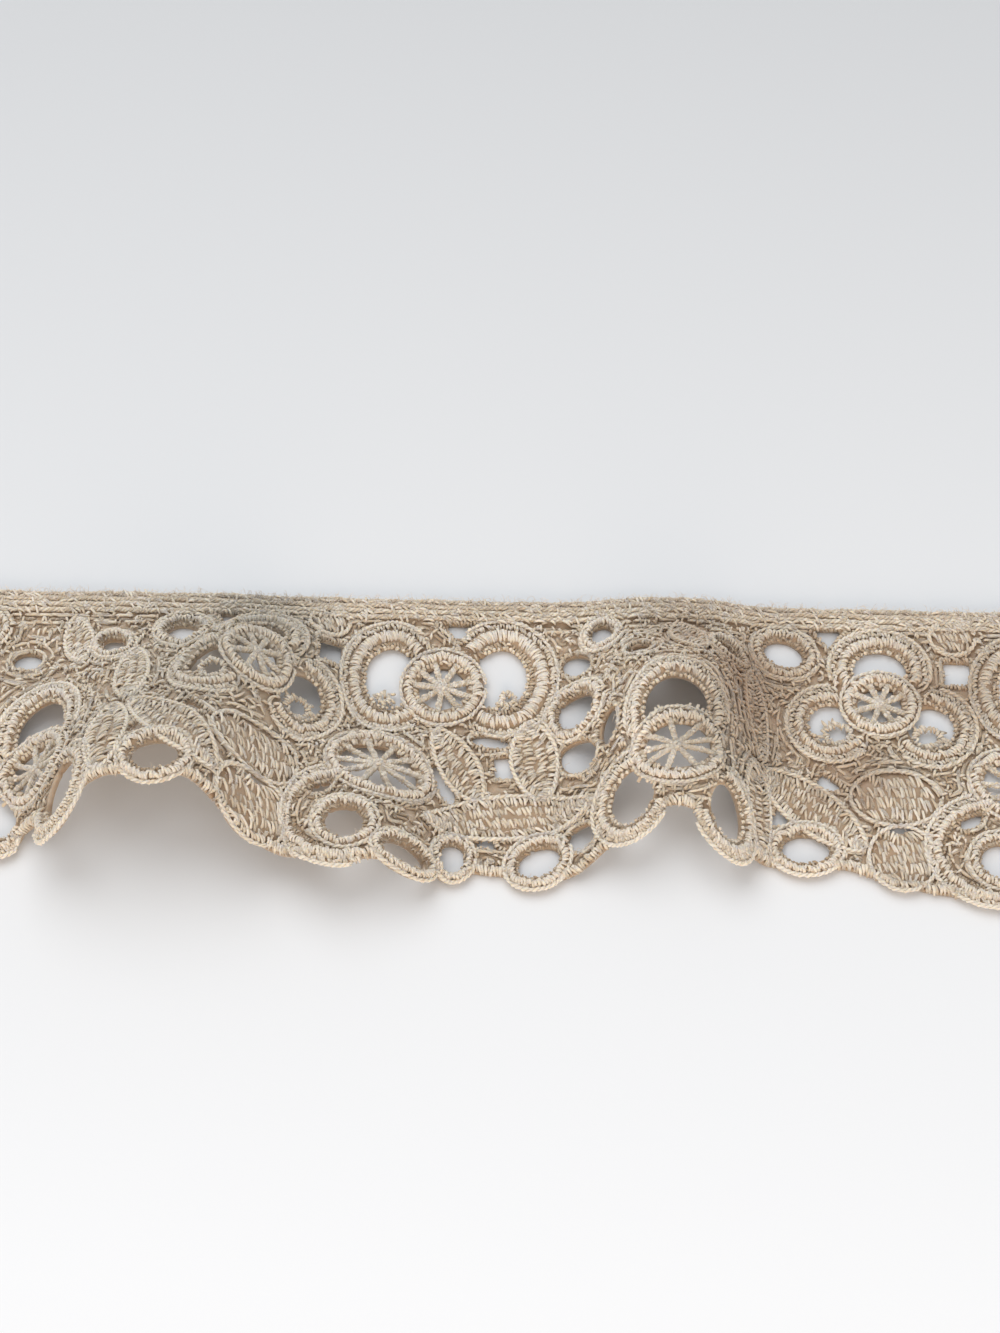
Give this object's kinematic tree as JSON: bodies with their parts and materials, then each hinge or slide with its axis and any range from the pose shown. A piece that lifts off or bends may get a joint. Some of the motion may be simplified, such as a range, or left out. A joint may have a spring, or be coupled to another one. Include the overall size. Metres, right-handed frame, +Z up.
{
  "type": "lace trim",
  "caption": "Cut length of ecru guipure lace trim with a straight heading and a scalloped edge of flowers, rings and leaves, lying in soft folds.",
  "frame": {"origin": "middle of the heading's underside, on the plane that the trim lies on", "axes": "+X along the trim, +Y from the scallops to the heading, +Z up from the plane it lies on"},
  "size_m": [0.1876, 0.0475, 0.0173],
  "materials": {
    "ecru_thread": "matt cotton satin stitch"
  },
  "bodies": {
    "root": {"lace_trim": "ecru_thread"}
  },
  "joints": []
}
